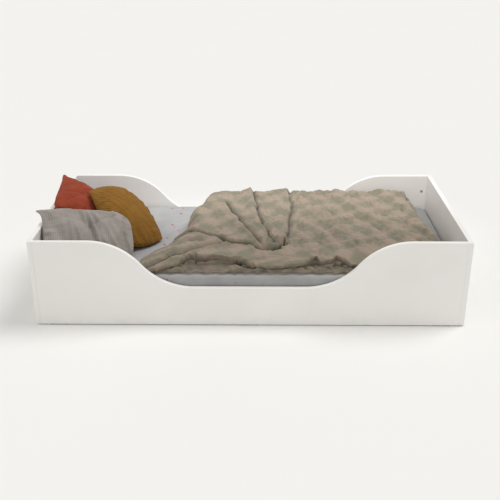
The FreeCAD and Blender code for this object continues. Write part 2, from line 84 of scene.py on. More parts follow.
def distance_to(x, y, line):
    """How far each point lies from a chain of straight runs, on which side of it (positive on
    the left of its direction), and how far along it from 0 to 1."""
    line = np.array(line, float)
    runs = line[1:] - line[:-1]
    lengths = np.hypot(*runs.T)
    starts = np.concatenate([[0], np.cumsum(lengths)])[:-1]
    best = np.full(x.shape, np.inf)
    side = np.zeros_like(x)
    share = np.zeros_like(x)
    for (x1, y1), (dx, dy), length, start in zip(line[:-1], runs, lengths, starts):
        t = np.clip(((x - x1) * dx + (y - y1) * dy) / length ** 2, 0, 1)
        away_x = x - x1 - t * dx
        away_y = y - y1 - t * dy
        away = np.hypot(away_x, away_y)
        near = away < best
        best = np.where(near, away, best)
        side = np.where(near, np.sign(dx * away_y - dy * away_x), side)
        share = np.where(near, (start + t * length) / lengths.sum(), share)
    return best, side, share


# ---- meshes ----
def mesh_object(name, points, faces, uv=None):
    """An object at the origin from points and faces, with a UV for each point."""
    mesh = bpy.data.meshes.new(name)
    mesh.from_pydata(np.reshape(points, (-1, 3)).tolist(), [], faces)
    mesh.validate()
    if uv is not None:
        layer = mesh.uv_layers.new(name="cloth")
        corner = np.empty(len(mesh.loops), np.int32)
        mesh.loops.foreach_get("vertex_index", corner)
        layer.data.foreach_set("uv", np.asarray(uv, np.float32)[corner].ravel())
    mesh.update()
    thing = bpy.data.objects.new(name, mesh)
    shade_smooth(thing)
    scene.collection.objects.link(thing)
    return thing


def grid_faces(rows, columns, start=0, turned=False, closed=False):
    """Quads of a grid whose points are numbered row by row, from start; turned faces them the
    other way, and closed joins the last column to the first."""
    i = np.arange(rows - 1)[:, None]
    j = np.arange(columns if closed else columns - 1)[None, :]
    nxt = (j + 1) % columns
    a = start + i * columns + j
    b = start + i * columns + nxt
    c = start + (i + 1) * columns + nxt
    d = start + (i + 1) * columns + j
    corners = (a, d, c, b) if turned else (a, b, c, d)
    return np.stack(np.broadcast_arrays(*corners), -1).reshape(-1, 4).tolist()


def shell(name, top, under, uv, step):
    """A closed skin: a fine top grid, a coarser grid under it that has every step-th row of the
    top's, and a rim of faces that joins the two."""
    rows, columns = top.shape[:2]
    low = under[::step]
    low_rows = low.shape[0]
    base = rows * columns
    faces = grid_faces(rows, columns, turned=True)
    faces += grid_faces(low_rows, columns, start=base)
    for column, inward in ((0, True), (columns - 1, False)):
        for k in range(low_rows - 1):
            upper = [r * columns + column for r in range(k * step, (k + 1) * step + 1)]
            ring = upper + [base + (k + 1) * columns + column, base + k * columns + column]
            faces.append(ring if inward else ring[::-1])
    for row, low_row, inward in ((0, 0, False), (rows - 1, low_rows - 1, True)):
        for c in range(columns - 1):
            upper = row * columns + c
            lower = base + low_row * columns + c
            ring = [upper, upper + 1, lower + 1, lower]
            faces.append(ring if inward else ring[::-1])
    points = np.concatenate([top.reshape(-1, 3), low.reshape(-1, 3)])
    uvs = np.concatenate([uv.reshape(-1, 2), uv[::step].reshape(-1, 2)])
    return mesh_object(name, points, faces, uvs)


def outward(thing, merge=1e-5):
    """The object with doubled points merged and all faces turned outwards."""
    work = bmesh.new()
    work.from_mesh(thing.data)
    bmesh.ops.remove_doubles(work, verts=work.verts, dist=merge)
    bmesh.ops.recalc_face_normals(work, faces=work.faces)
    work.to_mesh(thing.data)
    work.free()
    thing.data.update()
    return thing


def get_points(thing):
    """The object's points as an array, one row for each."""
    flat = np.empty(len(thing.data.vertices) * 3, np.float32)
    thing.data.vertices.foreach_get("co", flat)
    return flat.reshape(-1, 3).astype(float)


def set_points(thing, points):
    """Moves the object's points to the rows of an array."""
    thing.data.vertices.foreach_set("co", np.asarray(points, np.float32).ravel())
    thing.data.update()


def apply_modifiers(thing):
    """Works the object's modifiers into its mesh, and leaves none."""
    graph = bpy.context.evaluated_depsgraph_get()
    finished = bpy.data.meshes.new_from_object(
        thing.evaluated_get(graph), preserve_all_data_layers=True, depsgraph=graph)
    thing.modifiers.clear()
    thing.data = finished
    shade_smooth(thing)


def shade_smooth(thing):
    """Shades all faces of the object smoothly."""
    thing.data.polygons.foreach_set("use_smooth", [True] * len(thing.data.polygons))


def place(thing, body, material, slot, *nodes):
    """Gives a piece its material and body, and lets it stand for CAD nodes; slot is not used."""
    thing.data.materials.clear()
    thing.data.materials.append(material)
    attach(thing, body)
    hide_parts(*nodes)
    return thing


# ---- materials ----
def start_material(name, **shader):
    """A new material and its node tree, with its Principled shader set from shader."""
    material = bpy.data.materials.new(name)
    material.use_nodes = True
    tree = material.node_tree
    bsdf = tree.nodes["Principled BSDF"]
    for socket, value in shader.items():
        bsdf.inputs[socket.replace("_", " ")].default_value = value
    return material, tree


def add(tree, kind, inputs=None, **settings):
    """Adds a node: settings go on the node, inputs are values or other nodes' outputs."""
    node = tree.nodes.new("ShaderNode" + kind)
    for key, value in settings.items():
        setattr(node, key, value)
    for key, value in (inputs or {}).items():
        if isinstance(value, bpy.types.NodeSocket):
            tree.links.new(value, node.inputs[key])
        else:
            node.inputs[key].default_value = value
    return node


def blend(tree, share, low, high):
    """Colour between two hex colours (or colour outputs) by share."""
    ends = [linear(c) if isinstance(c, str) else c for c in (low, high)]
    return add(tree, "Mix", {0: share, 6: ends[0], 7: ends[1]}, data_type="RGBA").outputs[2]


def feed(tree, socket, value):
    """Links a value to an input of the surface shader."""
    tree.links.new(value, tree.nodes["Principled BSDF"].inputs[socket])


def tint(tree, share, low, high):
    """Gives the surface the colour between two by share."""
    feed(tree, "Base Color", blend(tree, share, low, high))


def span(tree, value, low, high, to_low=0.0, to_high=1.0):
    """Maps value from low..high to to_low..to_high, held at the ends."""
    inputs = {0: value, 1: low, 2: high, 3: to_low, 4: to_high}
    return add(tree, "MapRange", inputs, interpolation_type="SMOOTHSTEP").outputs[0]


def noise(tree, spot, size, detail=3.0, rough=0.55, distortion=0.0):
    """Noise whose blots are about size metres across."""
    inputs = {"Vector": spot, "Scale": 1 / size, "Detail": detail, "Roughness": rough,
              "Distortion": distortion}
    return add(tree, "TexNoise", inputs).outputs[0]


def arithmetic(tree, operation, a, b):
    """One sum on values or outputs."""
    return add(tree, "Math", {0: a, 1: b}, operation=operation).outputs[0]


def times(tree, a, b):
    """a times b."""
    return arithmetic(tree, "MULTIPLY", a, b)


def relief(tree, height, depth, strength=1.0, before=None):
    """Bump of depth metres from a height of 0 to 1, on top of the bump before."""
    inputs = {"Height": height, "Distance": depth, "Strength": strength}
    if before is not None:
        inputs["Normal"] = before
    normal = add(tree, "Bump", inputs).outputs[0]
    feed(tree, "Normal", normal)
    return normal


def object_place(tree, stretch=(1, 1, 1), turn=0.0):
    """Place in the object's own coordinates, turned about Z."""
    coords = add(tree, "TexCoord").outputs["Object"]
    inputs = {"Vector": coords, "Scale": stretch, "Rotation": (0, 0, turn)}
    return add(tree, "Mapping", inputs).outputs[0]


def cloth_place(tree, stretch=(1, 1, 1), turn=0.0):
    """Place on the flat cloth in metres, turned in its plane."""
    coords = add(tree, "UVMap", uv_map="cloth").outputs[0]
    inputs = {"Vector": coords, "Scale": stretch, "Rotation": (0, 0, turn)}
    return add(tree, "Mapping", inputs).outputs[0]


def ribs(tree, spot, pitch, axis, waver=0.0):
    """Even ribs pitch metres apart along one axis, from 0 to 1. Blender's wave repeats every
    2 pi / (20 Scale)."""
    scale = 2 * pi / pitch / 20
    inputs = {"Vector": spot, "Scale": scale, "Distortion": waver, "Detail": 2.0}
    return add(tree, "TexWave", inputs, bands_direction=axis).outputs[1]


def lattice(tree, spot, pitch, waver=0.0):
    """Even bumps pitch metres apart both ways, from 0 to 1: ribs along X times ribs along Y."""
    along_x = ribs(tree, spot, pitch, "X", waver)
    along_y = ribs(tree, spot, pitch, "Y", waver)
    return times(tree, along_x, along_y)


def white_lacquer():
    """Sprayed and sanded white lacquer on MDF: a satin, faintly warm white with a fine orange
    peel about 2 mm across, drawn coarser than the real 1 mm so that it shows, and a little darker
    and yellower in patches towards the bottom, in the lowest 50 mm."""
    material, tree = start_material("white_lacquered_mdf", Roughness=0.36, IOR=1.5)
    spot = object_place(tree)
    cloudy = noise(tree, spot, 0.25, 2.0)
    colour = blend(tree, span(tree, cloudy, 0.35, 0.65), "#eeebe7", "#f1efeb")
    height = add(tree, "SeparateXYZ", {0: spot}).outputs[2]
    # Darker and yellower in patches towards the bottom, over the lowest 50 mm.
    patchy = span(tree, noise(tree, spot, 0.04), 0.4, 0.65)
    low_patches = times(tree, span(tree, height, 0.05, 0.0), patchy)
    tint(tree, times(tree, low_patches, 0.25), colour, "#ddd9d3")
    gloss = span(tree, noise(tree, spot, 0.12, 4.0), 0.3, 0.7, 0.32, 0.44)
    feed(tree, "Roughness", gloss)
    relief(tree, noise(tree, spot, 0.002, 1.0), 0.00004, 0.5)
    return material


def planed_wood(name, pale, dark, stretch, ring):
    """Planed softwood or beech: grain lines ring metres apart, drawn out along the board, with
    darker late wood, and a slightly rough unfinished surface."""
    material, tree = start_material(name, Roughness=0.62)
    spot = object_place(tree, stretch)
    wavy = noise(tree, spot, 0.05, 3.0, 0.5, 0.6)
    lines = ribs(tree, spot, ring, "DIAGONAL", 6.0)
    share = times(tree, lines, span(tree, wavy, 0.3, 0.7, 0.35, 1.0))
    tint(tree, share, pale, dark)
    relief(tree, lines, 0.0001, 0.4)
    return material


def pressed_felt():
    """Pressed wool felt: matted grey fibres, wholly dull."""
    material, tree = start_material("pressed_felt", Roughness=0.95, Sheen_Weight=0.3)
    spot = object_place(tree)
    fibres = noise(tree, spot, 0.0015, 5.0, 0.7)
    tint(tree, span(tree, fibres, 0.3, 0.7), "#6f6c69", "#9a9794")
    relief(tree, fibres, 0.0005, 0.8)
    return material


def zinc_plated_steel():
    """Bright zinc plating on steel: cool grey metal with a soft cloudy gloss."""
    material, tree = start_material("zinc_plated_steel", Metallic=1.0, Roughness=0.3)
    spot = object_place(tree)
    clouds = noise(tree, spot, 0.004, 3.0)
    tint(tree, clouds, "#a9adb0", "#c3c6c8")
    feed(tree, "Roughness", span(tree, clouds, 0.3, 0.7, 0.24, 0.4))
    relief(tree, noise(tree, spot, 0.0006, 2.0), 0.00003, 0.5)
    return material


def moulded_plastic():
    """White moulded polythene of the bolt caps: half gloss, with the fine grain of its mould."""
    material, tree = start_material("moulded_polythene", Roughness=0.42, IOR=1.5)
    spot = object_place(tree)
    grain = noise(tree, spot, 0.0008, 2.0)
    tint(tree, noise(tree, spot, 0.01), "#e2dfd9", "#ebe8e3")
    relief(tree, grain, 0.00004, 0.6)
    return material


def cotton_sheet():
    """Light grey cotton jersey of the fitted sheet: fine knit drawn at 2.4 mm so that it shows,
    scattered red and pink dots 8 to 12 mm wide in seven of ten cells 30 mm apart, and the soft
    light edge of a dull cloth."""
    material, tree = start_material("cotton_jersey_dotted", Roughness=0.88, Sheen_Weight=0.15)
    spot = cloth_place(tree)
    soft = noise(tree, spot, 0.09, 3.0)
    ground = blend(tree, span(tree, soft, 0.35, 0.65), "#9a9a99", "#a3a3a2")
    knit = lattice(tree, spot, 0.0024)
    ground = blend(tree, times(tree, knit, 0.12), ground, "#8f9299")
    cells = add(tree, "TexVoronoi", {"Vector": spot, "Scale": 1 / 0.03, "Randomness": 0.9})
    chance = add(tree, "SeparateColor", {0: cells.outputs["Color"]})
    size = span(tree, chance.outputs[0], 0.2, 1.0, 0.13, 0.2)
    dot = arithmetic(tree, "LESS_THAN", cells.outputs["Distance"], size)
    shown = arithmetic(tree, "GREATER_THAN", chance.outputs[1], 0.3)
    dot = times(tree, dot, shown)
    inks = blend(tree, span(tree, chance.outputs[2], 0.35, 0.65), "#a3243c", "#b9566a")
    tint(tree, times(tree, dot, 0.95), ground, inks)
    crumple = noise(tree, cloth_place(tree, (1, 2.2, 1)), 0.035, 4.0, 0.5, 0.8)
    first = relief(tree, crumple, 0.004, 0.5)
    relief(tree, knit, 0.0002, 0.4, first)
    return material


def quilted_cover():
    """White polyester mattress cover, quilted in diamonds 70 mm wide, soft and dull."""
    material, tree = start_material("quilted_polyester_cover", Roughness=0.85, Sheen_Weight=0.2)
    spot = object_place(tree, turn=pi / 4)
    pads = span(tree, lattice(tree, spot, 0.05), 0.0, 0.25)
    tint(tree, pads, "#cfcbc4", "#e6e3dd")
    first = relief(tree, pads, 0.004, 0.8)
    relief(tree, noise(tree, spot, 0.002, 3.0), 0.0003, 0.4, first)
    return material


def zip_tape():
    """Woven white zip tape with a row of moulded teeth every 3 mm."""
    material, tree = start_material("woven_zip_tape", Roughness=0.7)
    spot = object_place(tree)
    teeth = lattice(tree, spot, 0.003)
    tint(tree, span(tree, teeth, 0.2, 0.5), "#bdb9b2", "#dedbd5")
    relief(tree, teeth, 0.0008, 0.8)
    return material


def crinkled_check():
    """Washed double cotton of the quilt, in a soft check of sage and dusty pink patches 44 by
    52 mm, turned 24 degrees aslant, whose edges run into each other: crinkled all over, wholly
    dull with a faint lint sheen, and with painted shade where the attribute "crease" says that a
    fold closes on itself, along the foot of the front roll and over the hem in front of it."""
    material, tree = start_material("washed_double_cotton_check", Roughness=0.95, Sheen_Weight=0.12)
    spot = cloth_place(tree, turn=radians(-24))
    stray = add(tree, "TexNoise", {"Vector": spot, "Scale": 1 / 0.09, "Detail": 1.0})
    strayed = {0: stray.outputs[1], 1: (0.012, 0.012, 0.0)}
    shift = add(tree, "VectorMath", strayed, operation="MULTIPLY").outputs[0]
    moved = add(tree, "VectorMath", {0: spot, 1: shift}, operation="ADD").outputs[0]
    across = ribs(tree, moved, 0.088, "X")
    along = ribs(tree, moved, 0.104, "Y")
    across, along = times(tree, across, 0.5), times(tree, along, 0.5)
    both = arithmetic(tree, "ADD", across, along)
    cloud = arithmetic(tree, "SUBTRACT", noise(tree, spot, 0.05, 3.0), 0.5)
    share = arithmetic(tree, "ADD", both, times(tree, cloud, 0.3))
    colour = blend(tree, span(tree, share, 0.2, 0.8), "#7c7664", "#978776")
    fibre = noise(tree, spot, 0.003, 4.0, 0.7)
    colour = blend(tree, span(tree, fibre, 0.35, 0.75, 0.0, 0.22), colour, "#7c7567")
    # Painted shade: the attribute darkens the colour towards #38332b in closed folds and under the
    # roll.
    painted_fold_shade = add(tree, "Attribute", attribute_name="crease").outputs[2]
    tint(tree, times(tree, painted_fold_shade, 0.95), colour, "#38332b")
    crinkle = noise(tree, cloth_place(tree, (1.0, 1.8, 1)), 0.02, 4.0, 0.6, 1.2)
    first = relief(tree, crinkle, 0.0022, 0.6)
    relief(tree, fibre, 0.0004, 0.5, first)
    return material


def pillow_cloth(name, deep, pale, kind):
    """Woven cotton of a pillow case. rust is a plain slub linen weave; mustard has fine ribs 7 mm
    apart that run aslant down the pillow; grey is a small waffle 7 mm wide. The real threads are
    finer and are drawn at these widths so that they show."""
    material, tree = start_material(
        name, Roughness=0.92, Sheen_Weight=0.02, Specular_IOR_Level=0.2)
    spot = cloth_place(tree)
    cloud = span(tree, noise(tree, spot, 0.05, 4.0), 0.3, 0.7)
    slub = noise(tree, cloth_place(tree, (1.0, 7.0, 1.0)), 0.02, 4.0, 0.6)
    if kind == "ribs":
        aslant = cloth_place(tree, turn=radians(-40))
        slubs = span(tree, slub, 0.3, 0.6, 0.7, 1.0)
        weave = times(tree, ribs(tree, aslant, 0.0072, "X", 0.4), slubs)
        depth, cut = 0.0014, 0.75
    elif kind == "waffle":
        weave = lattice(tree, spot, 0.007, 0.3)
        depth, cut = 0.001, 0.35
    else:
        weave = lattice(tree, spot, 0.0025, 0.5)
        depth, cut = 0.0004, 0.2
    colour = blend(tree, cloud, deep, pale)
    dark = blend(tree, 0.45, deep, "#2a2018")
    between = times(tree, arithmetic(tree, "SUBTRACT", 1.0, weave), cut)
    tint(tree, between, colour, dark)
    first = relief(tree, noise(tree, spot, 0.03, 3.0, 0.5, 1.5), 0.002, 0.35)
    relief(tree, weave, depth, 0.6, first)
    return material


pine = ("#dcbd92", "#c09460")
zinc = zinc_plated_steel()
# A word in a node's name and its material: the last word that fits counts, as for slat_screws.
finishes = {
    "support_rail": planed_wood("planed_pine_rail", *pine, (0.06, 1.0, 1.0), 0.009),
    "slat_": planed_wood("planed_pine_slat", *pine, (1.0, 0.06, 1.0), 0.009),
    "_panel": white_lacquer(),
    "felt_pads": pressed_felt(),
    "bolt_caps": moulded_plastic(),
    "wood_dowels": planed_wood("turned_beech", "#cfa67c", "#b58a60", (0.1, 1.0, 1.0), 0.003),
    "corner_bolts": zinc,
    "barrel_nuts": zinc,
    "_screws": zinc,
}
for node_name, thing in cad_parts.items():
    for word, material in finishes.items():
        if word in node_name:
            for material_slot in thing.material_slots:
                material_slot.material = material


# ---- mattress, its cover and zip, and the fitted sheet ----
PLAN_CORNER = 0.03           # radius of the mattress's corners in plan
RING_POINTS = 560            # points in each ring round the mattress
SPINE_STOPS = 24             # steps of the middle line on which the rings end, each way
ARC_RINGS = 7                # rings round an edge


def rounded_loop(half_x, half_y, radius, count):
    """Points of a rounded rectangle in plan, evenly spaced, and how far round it each lies:
    straight runs and quarter circles."""
    centre_x, centre_y = half_x - radius, half_y - radius
    arc = radius * pi / 2
    total = 2 * (2 * centre_x + 2 * centre_y) + 4 * arc
    s = np.arange(count) / count * total
    x, y = np.zeros((2, count))
    # Each side's length, start and direction, and the corner at its end.
    sides = ((2 * centre_x, (-centre_x, -half_y), (1, 0), (1, -1)),
             (2 * centre_y, (half_x, -centre_y), (0, 1), (1, 1)),
             (2 * centre_x, (centre_x, half_y), (-1, 0), (-1, 1)),
             (2 * centre_y, (-half_x, centre_y), (0, -1), (-1, -1)))
    at = 0.0
    for quarter, (length, start, way, corner) in enumerate(sides):
        here = (s >= at) & (s < at + length)
        x[here] = start[0] + way[0] * (s[here] - at)
        y[here] = start[1] + way[1] * (s[here] - at)
        at += length
        here = (s >= at) & (s <= at + arc)
        angle = (s[here] - at) / radius + (quarter - 1) * pi / 2
        x[here] = corner[0] * centre_x + radius * np.cos(angle)
        y[here] = corner[1] * centre_y + radius * np.sin(angle)
        at += arc
    return x, y, s


def mattress_skin(low, high, rows):
    """Rings round the mattress block, and how far round each point lies. rows gives each ring as
    (inset from the side, height); an inset ring is drawn towards the block's middle line."""
    half_x = (high.x - low.x) / 2
    half_y = (high.y - low.y) / 2
    middle = (low + high) / 2
    x, y, around = rounded_loop(half_x, half_y, PLAN_CORNER, RING_POINTS)
    spine = half_x - half_y
    stops = np.round(np.clip(x, -spine, spine) / spine * SPINE_STOPS)
    spine_x = stops / SPINE_STOPS * spine
    points = []
    for inset, z in rows:
        share = inset / half_y
        ring_x = x + (spine_x - x) * share
        ring_y = y * (1 - share)
        level = np.full(RING_POINTS, z)
        points.append(np.stack([middle.x + ring_x, middle.y + ring_y, level], -1))
    return np.array(points), around


def ring_profile(low, high, radius, hem, top_rings, side_rings):
    """Insets and heights of the rings from the middle of the top to the hem underneath."""
    half_y = (high.y - low.y) / 2
    rows = [(half_y - (half_y - radius) * k / top_rings, high.z) for k in range(top_rings)]
    arc = np.linspace(0, pi / 2, ARC_RINGS)
    rows += [(radius * (1 - sin(a)), high.z - radius * (1 - cos(a))) for a in arc]
    rows += [(0.0, z) for z in np.linspace(high.z - radius, low.z + radius, side_rings)[1:-1]]
    rows += [(radius * (1 - cos(a)), low.z + radius * (1 - sin(a))) for a in arc]
    rows += [(inset, low.z) for inset in np.linspace(radius, hem, 6)[1:]]
    return rows


def sheet_creases(x, y, side):
    """Depth of the creases in metres: on the sides they run down from the top edge, two of them
    pulled aslant; on top they are long and shallow. side is 0 at the top edge, 1 at the floor."""
    end_start = 3.0             # keeps the creases of the ends apart from those of the sides
    along = np.where(np.abs(y) > 0.34, x, y + end_start)
    down = np.abs(np.sin(pi * (along / 0.061 + 0.35 * np.sin(along * 23))))
    pulled = np.exp(-((along + 0.205 + side * 0.25) / 0.006) ** 2)
    pulled = pulled + np.exp(-((along + 0.19 + side * 0.1) / 0.004) ** 2)
    upright = 0.0012 * (1 - down) ** 3 + 0.001 * pulled
    flat = 0.0016 * np.clip(ripples(x, y * 1.6, 0.09, seed=5), 0, 1) ** 2
    return upright, flat


def at_face(values, face):
    """Which way a point faces, -1 or 1, where it lies within 2 mm of a side, and 0 elsewhere."""
    return values / np.maximum(np.abs(values), 1e-6) * (np.abs(values) > face - 0.002)


def make_fitted_sheet():
    """The fitted sheet: the mattress rings with a thin wall, creased on its sides, its elastic hem
    gathered underneath."""
    wall = 0.0009
    gather, gather_pitch = 0.0012, 0.014
    low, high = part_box("fitted_sheet")
    rows = ring_profile(low, high, 0.013, 0.062, 42, 24)
    outer, around = mattress_skin(low, high, rows)
    x, y, z = np.moveaxis(outer, -1, 0)         # changing these changes the rings
    insets = np.array([r[0] for r in rows])[:, None]
    heights = np.array([r[1] for r in rows])[:, None]
    side_share = np.clip((high.z - z) / (high.z - low.z), 0, 1)
    upright, flat = sheet_creases(x, y, side_share)
    on_top = smooth(0.01, 0.03, insets) * (heights > high.z - 1e-4)
    on_side = smooth(0.0, 0.02, high.z - heights) * smooth(0.0, 0.01, heights - low.z)
    under = heights < low.z + 1e-4
    facing_x = at_face(x, high.x)
    facing_y = at_face(y, high.y)
    x -= facing_x * upright * on_side
    y -= facing_y * upright * on_side
    z -= 0.0016 * on_top - flat * on_top
    gathered = gather * np.sin(around[None, :] * 2 * pi / gather_pitch)
    gathered = gathered * smooth(0.02, 0.05, insets)
    z += np.where(under, np.abs(gathered), 0)
    inner = outer.copy()
    centre = (low + high) / 2
    inner[..., 0] += np.sign(centre.x - x) * wall * (on_side > 0)
    inner[..., 1] += np.sign(centre.y - y) * wall * (on_side > 0)
    inner[..., 2] += np.where(heights > centre.z, -wall, wall) * (on_side < 1)
    uv = outer[..., :2].copy()
    drop = np.maximum(0, high.z - z) + np.where(under, insets, 0)
    uv[..., 0] += facing_x * drop
    uv[..., 1] += facing_y * drop
    rings, count = outer.shape[:2]
    faces = grid_faces(rings, count, closed=True, turned=True)
    faces += grid_faces(rings, count, start=rings * count, closed=True)
    last = (rings - 1) * count
    inner_last = last + rings * count
    for c in range(count):
        nxt = (c + 1) % count
        faces.append([last + c, last + nxt, inner_last + nxt, inner_last + c])
    points = np.concatenate([outer.reshape(-1, 3), inner.reshape(-1, 3)])
    uvs = np.concatenate([uv.reshape(-1, 2), uv.reshape(-1, 2)])
    return outward(mesh_object("fitted_sheet_cloth", points, faces, uvs), 2e-5)


def make_mattress_cover():
    """The quilted cover round the foam: a closed block with puffed sides, just inside the sheet."""
    inside = 0.0015
    puff, puff_pitch = 0.0006, 0.05
    low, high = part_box("mattress_cover_top")
    low = Vector((low.x, low.y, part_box("mattress_cover_bottom")[0].z))
    rows = ring_profile(low, high, 0.012, 0.34, 16, 14)
    rows = [(0.349, high.z)] + rows[1:] + [(0.349, low.z)]
    points, around = mattress_skin(low, high, rows)
    x, y, z = np.moveaxis(points, -1, 0)
    z -= 0.004 * smooth(high.z - 0.03, high.z, z)
    x *= 1 - inside / high.x
    y *= 1 - inside / high.y
    puffs = puff * np.abs(np.sin(around * pi / puff_pitch))[None, :]
    at_side = np.abs(y) > high.y - 0.0025
    y -= np.sign(y) * puffs * at_side
    rings, count = points.shape[:2]
    faces = grid_faces(rings, count, closed=True, turned=True)
    faces.append(list(range(count))[::-1])
    faces.append([(rings - 1) * count + c for c in range(count)])
    return outward(mesh_object("mattress_cover", points, faces))


def make_zip():
    """Zip tape round the mattress: a thin band with a raised row of teeth along its middle."""
    low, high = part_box("mattress_zip")
    x, y, _ = rounded_loop(high.x - 0.0002, high.y - 0.0002, 0.012, 700)
    # The band's section: how far in from its outer face, and what share of its height.
    section = ((0.0015, 0.0), (0.0, 0.0), (0.0, 0.35), (-0.0003, 0.45),
               (-0.0003, 0.55), (0.0, 0.65), (0.0, 1.0), (0.0015, 1.0))
    rings = []
    for inset, share in section:
        z = np.full(len(x), low.z + (high.z - low.z) * share)
        rings.append(np.stack([x * (1 - inset / high.x), y * (1 - inset / high.y), z], -1))
    rings = np.array(rings)
    rows, count = rings.shape[:2]
    faces = grid_faces(rows, count, closed=True)
    last = (rows - 1) * count
    for c in range(count):
        nxt = (c + 1) % count
        faces.append([c, last + c, last + nxt, nxt])
    return outward(mesh_object("mattress_zip_tape", rings, faces))


# ---- quilt ----
QUILT_FLOOR = SHEET_TOP + 0.0003
FRONT_Y, BACK_Y = -0.339, 0.339
# Where the left and the right hem run, as (y, x) from front to back.
LEFT_STEPS = ((-0.339, -0.407), (-0.23, -0.372), (-0.15, -0.312), (-0.06, -0.276),
              (0.0, -0.24), (0.14, -0.233), (0.339, -0.166))
RIGHT_STEPS = ((-0.339, 0.685), (-0.161, 0.683), (-0.06, 0.672), (-0.021, 0.664),
               (0.129, 0.652), (0.339, 0.641))
# Foot of the front roll, from left to right, in plan.
ROLL_FOOT = ((-0.42, -0.35), (-0.33, -0.345), (-0.25, -0.325), (-0.2, -0.29),
             (-0.1, -0.292), (-0.03, -0.3), (0.004, -0.322), (0.054, -0.33),
             (0.084, -0.33), (0.154, -0.324), (0.185, -0.316), (0.21, -0.3),
             (0.224, -0.288), (0.232, -0.31), (0.273, -0.306), (0.29, -0.29),
             (0.317, -0.304), (0.336, -0.322), (0.4, -0.326), (0.5, -0.33), (0.72, -0.336))
# Sharp creases: chain in plan, depth, width of the shoulder, how far the left side stands over
# the right one.
CREASES = (
    (((0.004, 0.325), (0.016, 0.195), (0.037, -0.017), (0.067, -0.157), (0.08, -0.205)),
     0.015, 0.0065, 0.007),
    (((-0.094, 0.171), (-0.059, 0.036), (-0.009, -0.099), (0.049, -0.225)), 0.015, 0.0065, 0.006),
    (((0.146, 0.333), (0.154, 0.138), (0.14, -0.06), (0.128, -0.166), (0.13, -0.205)),
     0.01, 0.006, 0.014),
    (((0.013, -0.225), (0.041, -0.246), (0.068, -0.252), (0.102, -0.24), (0.124, -0.2)),
     0.016, 0.008, 0.0),
    (((0.06, -0.196), (0.08, -0.216), (0.108, -0.206), (0.116, -0.186)), 0.016, 0.008, 0.0),
    (((-0.273, -0.07), (-0.216, -0.054), (-0.18, -0.108), (-0.088, -0.183), (0.01, -0.222)),
     0.015, 0.006, -0.008),
    (((-0.4, -0.33), (-0.323, -0.318), (-0.282, -0.3), (-0.229, -0.268), (-0.154, -0.232),
      (-0.088, -0.185)),
     0.014, 0.006, 0.006),
    (((0.624, 0.338), (0.6, 0.2)), 0.01, 0.006, 0.0),
    (((-0.3, -0.13), (-0.24, -0.15), (-0.16, -0.19)), 0.008, 0.008, 0.0),
)
# Rounded ridges: chain in plan, height, half width.
RIDGES = (
    (((-0.012, 0.335), (-0.004, 0.19), (0.012, 0.0), (0.045, -0.16)), 0.014, 0.026),
    (((0.1, 0.335), (0.105, 0.1), (0.108, -0.15)), 0.007, 0.04),
    (((-0.15, 0.23), (-0.09, 0.05), (0.01, -0.19)), 0.012, 0.034),
    (((-0.1, 0.29), (-0.06, 0.12), (0.0, -0.06)), 0.008, 0.02),
    (((0.085, -0.186), (0.112, -0.172), (0.126, -0.186)), 0.018, 0.016),
    (((0.06, -0.224), (0.088, -0.235), (0.114, -0.222)), 0.012, 0.01),
    (((-0.31, -0.11), (-0.24, -0.1), (-0.15, -0.17)), 0.008, 0.024),
    (((-0.38, -0.29), (-0.28, -0.262), (-0.17, -0.205), (-0.08, -0.15)), 0.01, 0.022),
    (((0.315, 0.33), (0.4, 0.14), (0.52, -0.12)), 0.007, 0.03),
    (((0.515, 0.33), (0.58, 0.12), (0.64, -0.12)), 0.01, 0.024),
    (((0.23, 0.2), (0.3, 0.0), (0.37, -0.21)), 0.006, 0.034),
    (((0.18, 0.12), (0.24, -0.06), (0.27, -0.2)), 0.005, 0.024),
    (((0.43, 0.06), (0.52, -0.1), (0.6, -0.2)), 0.007, 0.024),
    (((0.56, 0.0), (0.64, -0.14), (0.67, -0.22)), 0.01, 0.014),
)


HEM_RISE = 0.011             # height of the quilt at its hems
FRONT_SWELL = 0.035          # what it gains just behind the front hem
BACK_GAIN = 0.034            # and what it gains more towards the back
LEAST_RISE = 0.0065          # no crease cuts deeper than this over the sheet


def quilt_fullness(x, y, left, right):
    """How far the quilt has swollen between its hems, from 0 at a hem to 1 inside. It takes
    longest at the front of the left side, where it lies thin."""
    left_reach = 0.05 + 0.09 * smooth(0.04, -0.08, y)
    fullness = swell(y - FRONT_Y, 0.085) * swell(BACK_Y - y, 0.045)
    return fullness * swell(x - left, left_reach) * swell(right - x, 0.06)


def raise_folds(rise, x, y, fullness):
    """Adds the ridges and cuts the creases: sharp valleys with soft banks, whose one side may
    stand over the other in a ledge. Also gives the painted shade along each crease, where the fold
    closes on itself."""
    warp_x = x + 0.006 * ripples(x, y, 0.11, seed=21)
    warp_y = y + 0.006 * ripples(x, y, 0.11, seed=22)
    closed = np.zeros_like(x)
    for chain, height, half_width in RIDGES:
        away, _, along = distance_to(warp_x, warp_y, chain)
        ends = swell(along, 0.15) * swell(1 - along, 0.15) * 0.6 + 0.4
        rise = rise + height * fullness * ends * np.exp(-(away / half_width) ** 2)
    for chain, depth, shoulder, ledge in CREASES:
        away, side, along = distance_to(warp_x, warp_y, chain)
        ends = swell(1 - along, 0.12) * swell(along + 0.02, 0.1) * 0.8 + 0.2
        bank = np.exp(-((away - 2.4 * shoulder) / (1.3 * shoulder)) ** 2)
        valley = np.exp(-(away / shoulder)) - 0.32 * bank
        rise = rise - depth * ends * np.minimum(1, fullness * 1.6) * valley
        stands = smooth(-0.006, 0.006, -side * away * np.sign(ledge)) * np.exp(-away / 0.045)
        rise = rise + abs(ledge) * ends * fullness * stands
        # Painted shade: a dark line along the crease, where the fold closes on itself.
        crease_shade_line = np.exp(-(away / 0.0038) ** 2) * ends ** 0.4 * (depth / 0.014) ** 0.5
        closed = np.maximum(closed, crease_shade_line)
    return rise, closed


